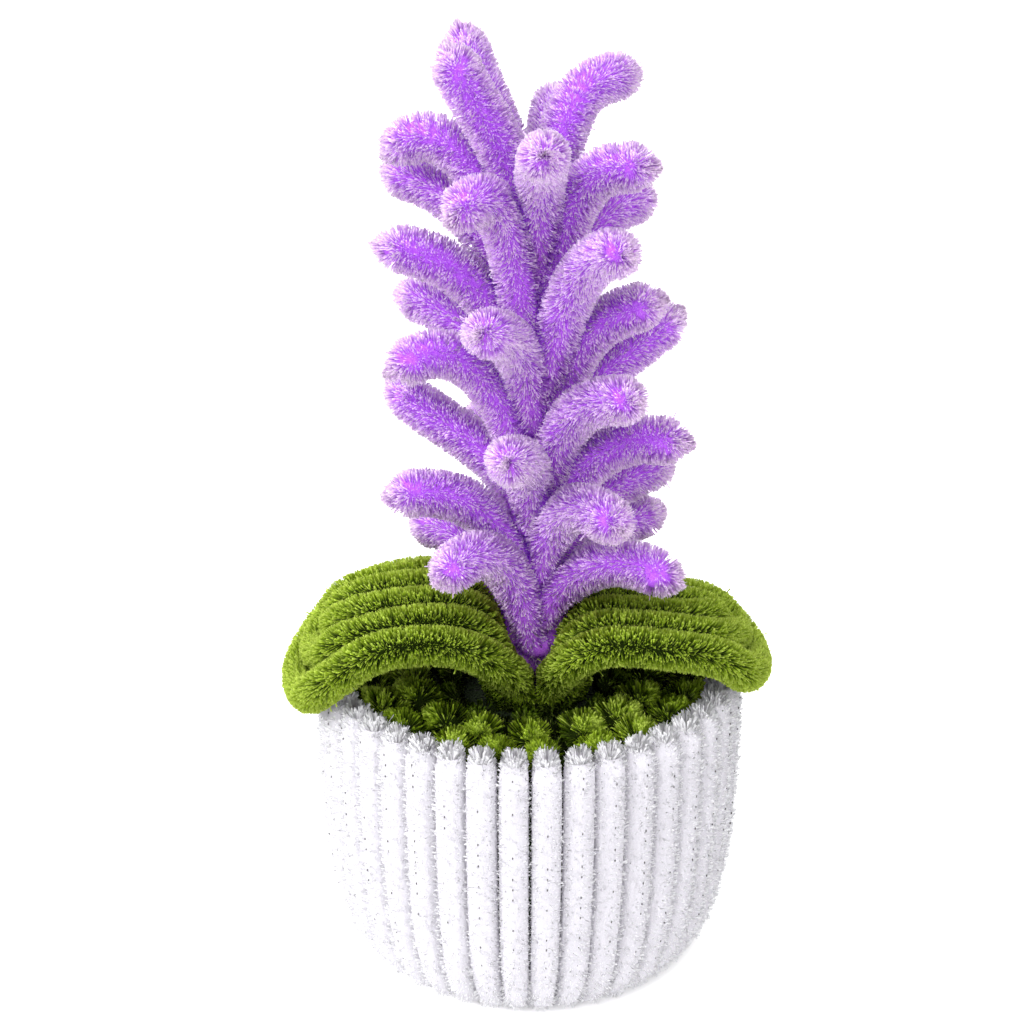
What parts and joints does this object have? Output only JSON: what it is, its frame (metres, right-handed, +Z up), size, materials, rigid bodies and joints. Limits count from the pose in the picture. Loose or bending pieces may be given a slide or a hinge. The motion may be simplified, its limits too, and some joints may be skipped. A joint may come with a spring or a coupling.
{
  "type": "chenille stem potted hyacinth",
  "caption": "Handmade ornament of a potted hyacinth: fuzzy chenille stems form a round ribbed pot, moss, broad looped leaves and an upright flower spike.",
  "frame": {"origin": "middle of the pot's round base, on the flat underside that it stands on", "axes": "+Z up along the flower, -Y towards the front, X along the two leaves with +X to the viewer's right"},
  "size_m": [0.0754, 0.0658, 0.1471],
  "materials": {
    "white_chenille": "white polyester pile on a twisted wire core",
    "green_chenille": "yellow green polyester pile on a twisted wire core",
    "purple_chenille": "lilac purple polyester pile on a twisted wire core",
    "craft_foam": "dark green open-cell craft foam"
  },
  "bodies": {
    "root": {"pot_base_coil": "white_chenille", "pot_rib_pair_01": "white_chenille", "pot_rib_pair_02": "white_chenille", "pot_rib_pair_03": "white_chenille", "pot_rib_pair_04": "white_chenille", "pot_rib_pair_05": "white_chenille", "pot_rib_pair_06": "white_chenille", "pot_rib_pair_07": "white_chenille", "pot_rib_pair_08": "white_chenille", "pot_rib_pair_09": "white_chenille", "pot_rib_pair_10": "white_chenille", "pot_rib_pair_11": "white_chenille", "pot_rib_pair_12": "white_chenille", "pot_rib_pair_13": "white_chenille", "pot_rib_pair_14": "white_chenille", "pot_rib_pair_15": "white_chenille", "pot_rib_pair_16": "white_chenille", "pot_rib_pair_17": "white_chenille", "pot_rib_pair_18": "white_chenille", "pot_rib_pair_19": "white_chenille", "pot_rib_pair_20": "white_chenille", "foam_plug": "craft_foam", "moss_ring_outer": "green_chenille", "moss_ring_middle": "green_chenille", "moss_ring_inner": "green_chenille", "leaf_left_outer": "green_chenille", "leaf_left_middle": "green_chenille", "leaf_left_inner": "green_chenille", "leaf_right_outer": "green_chenille", "leaf_right_middle": "green_chenille", "leaf_right_inner": "green_chenille", "flower_stalk": "purple_chenille", "floret_stem_01": "purple_chenille", "floret_stem_02": "purple_chenille", "floret_stem_03": "purple_chenille", "floret_stem_04": "purple_chenille", "floret_stem_05": "purple_chenille", "floret_stem_06": "purple_chenille", "floret_stem_07": "purple_chenille", "floret_stem_08": "purple_chenille", "floret_stem_09": "purple_chenille", "floret_stem_10": "purple_chenille", "floret_stem_11": "purple_chenille", "floret_stem_12": "purple_chenille", "floret_stem_13": "purple_chenille", "floret_stem_14": "purple_chenille", "floret_stem_15": "purple_chenille", "floret_stem_16": "purple_chenille", "floret_stem_17": "purple_chenille", "floret_stem_18": "purple_chenille"}
  },
  "joints": []
}
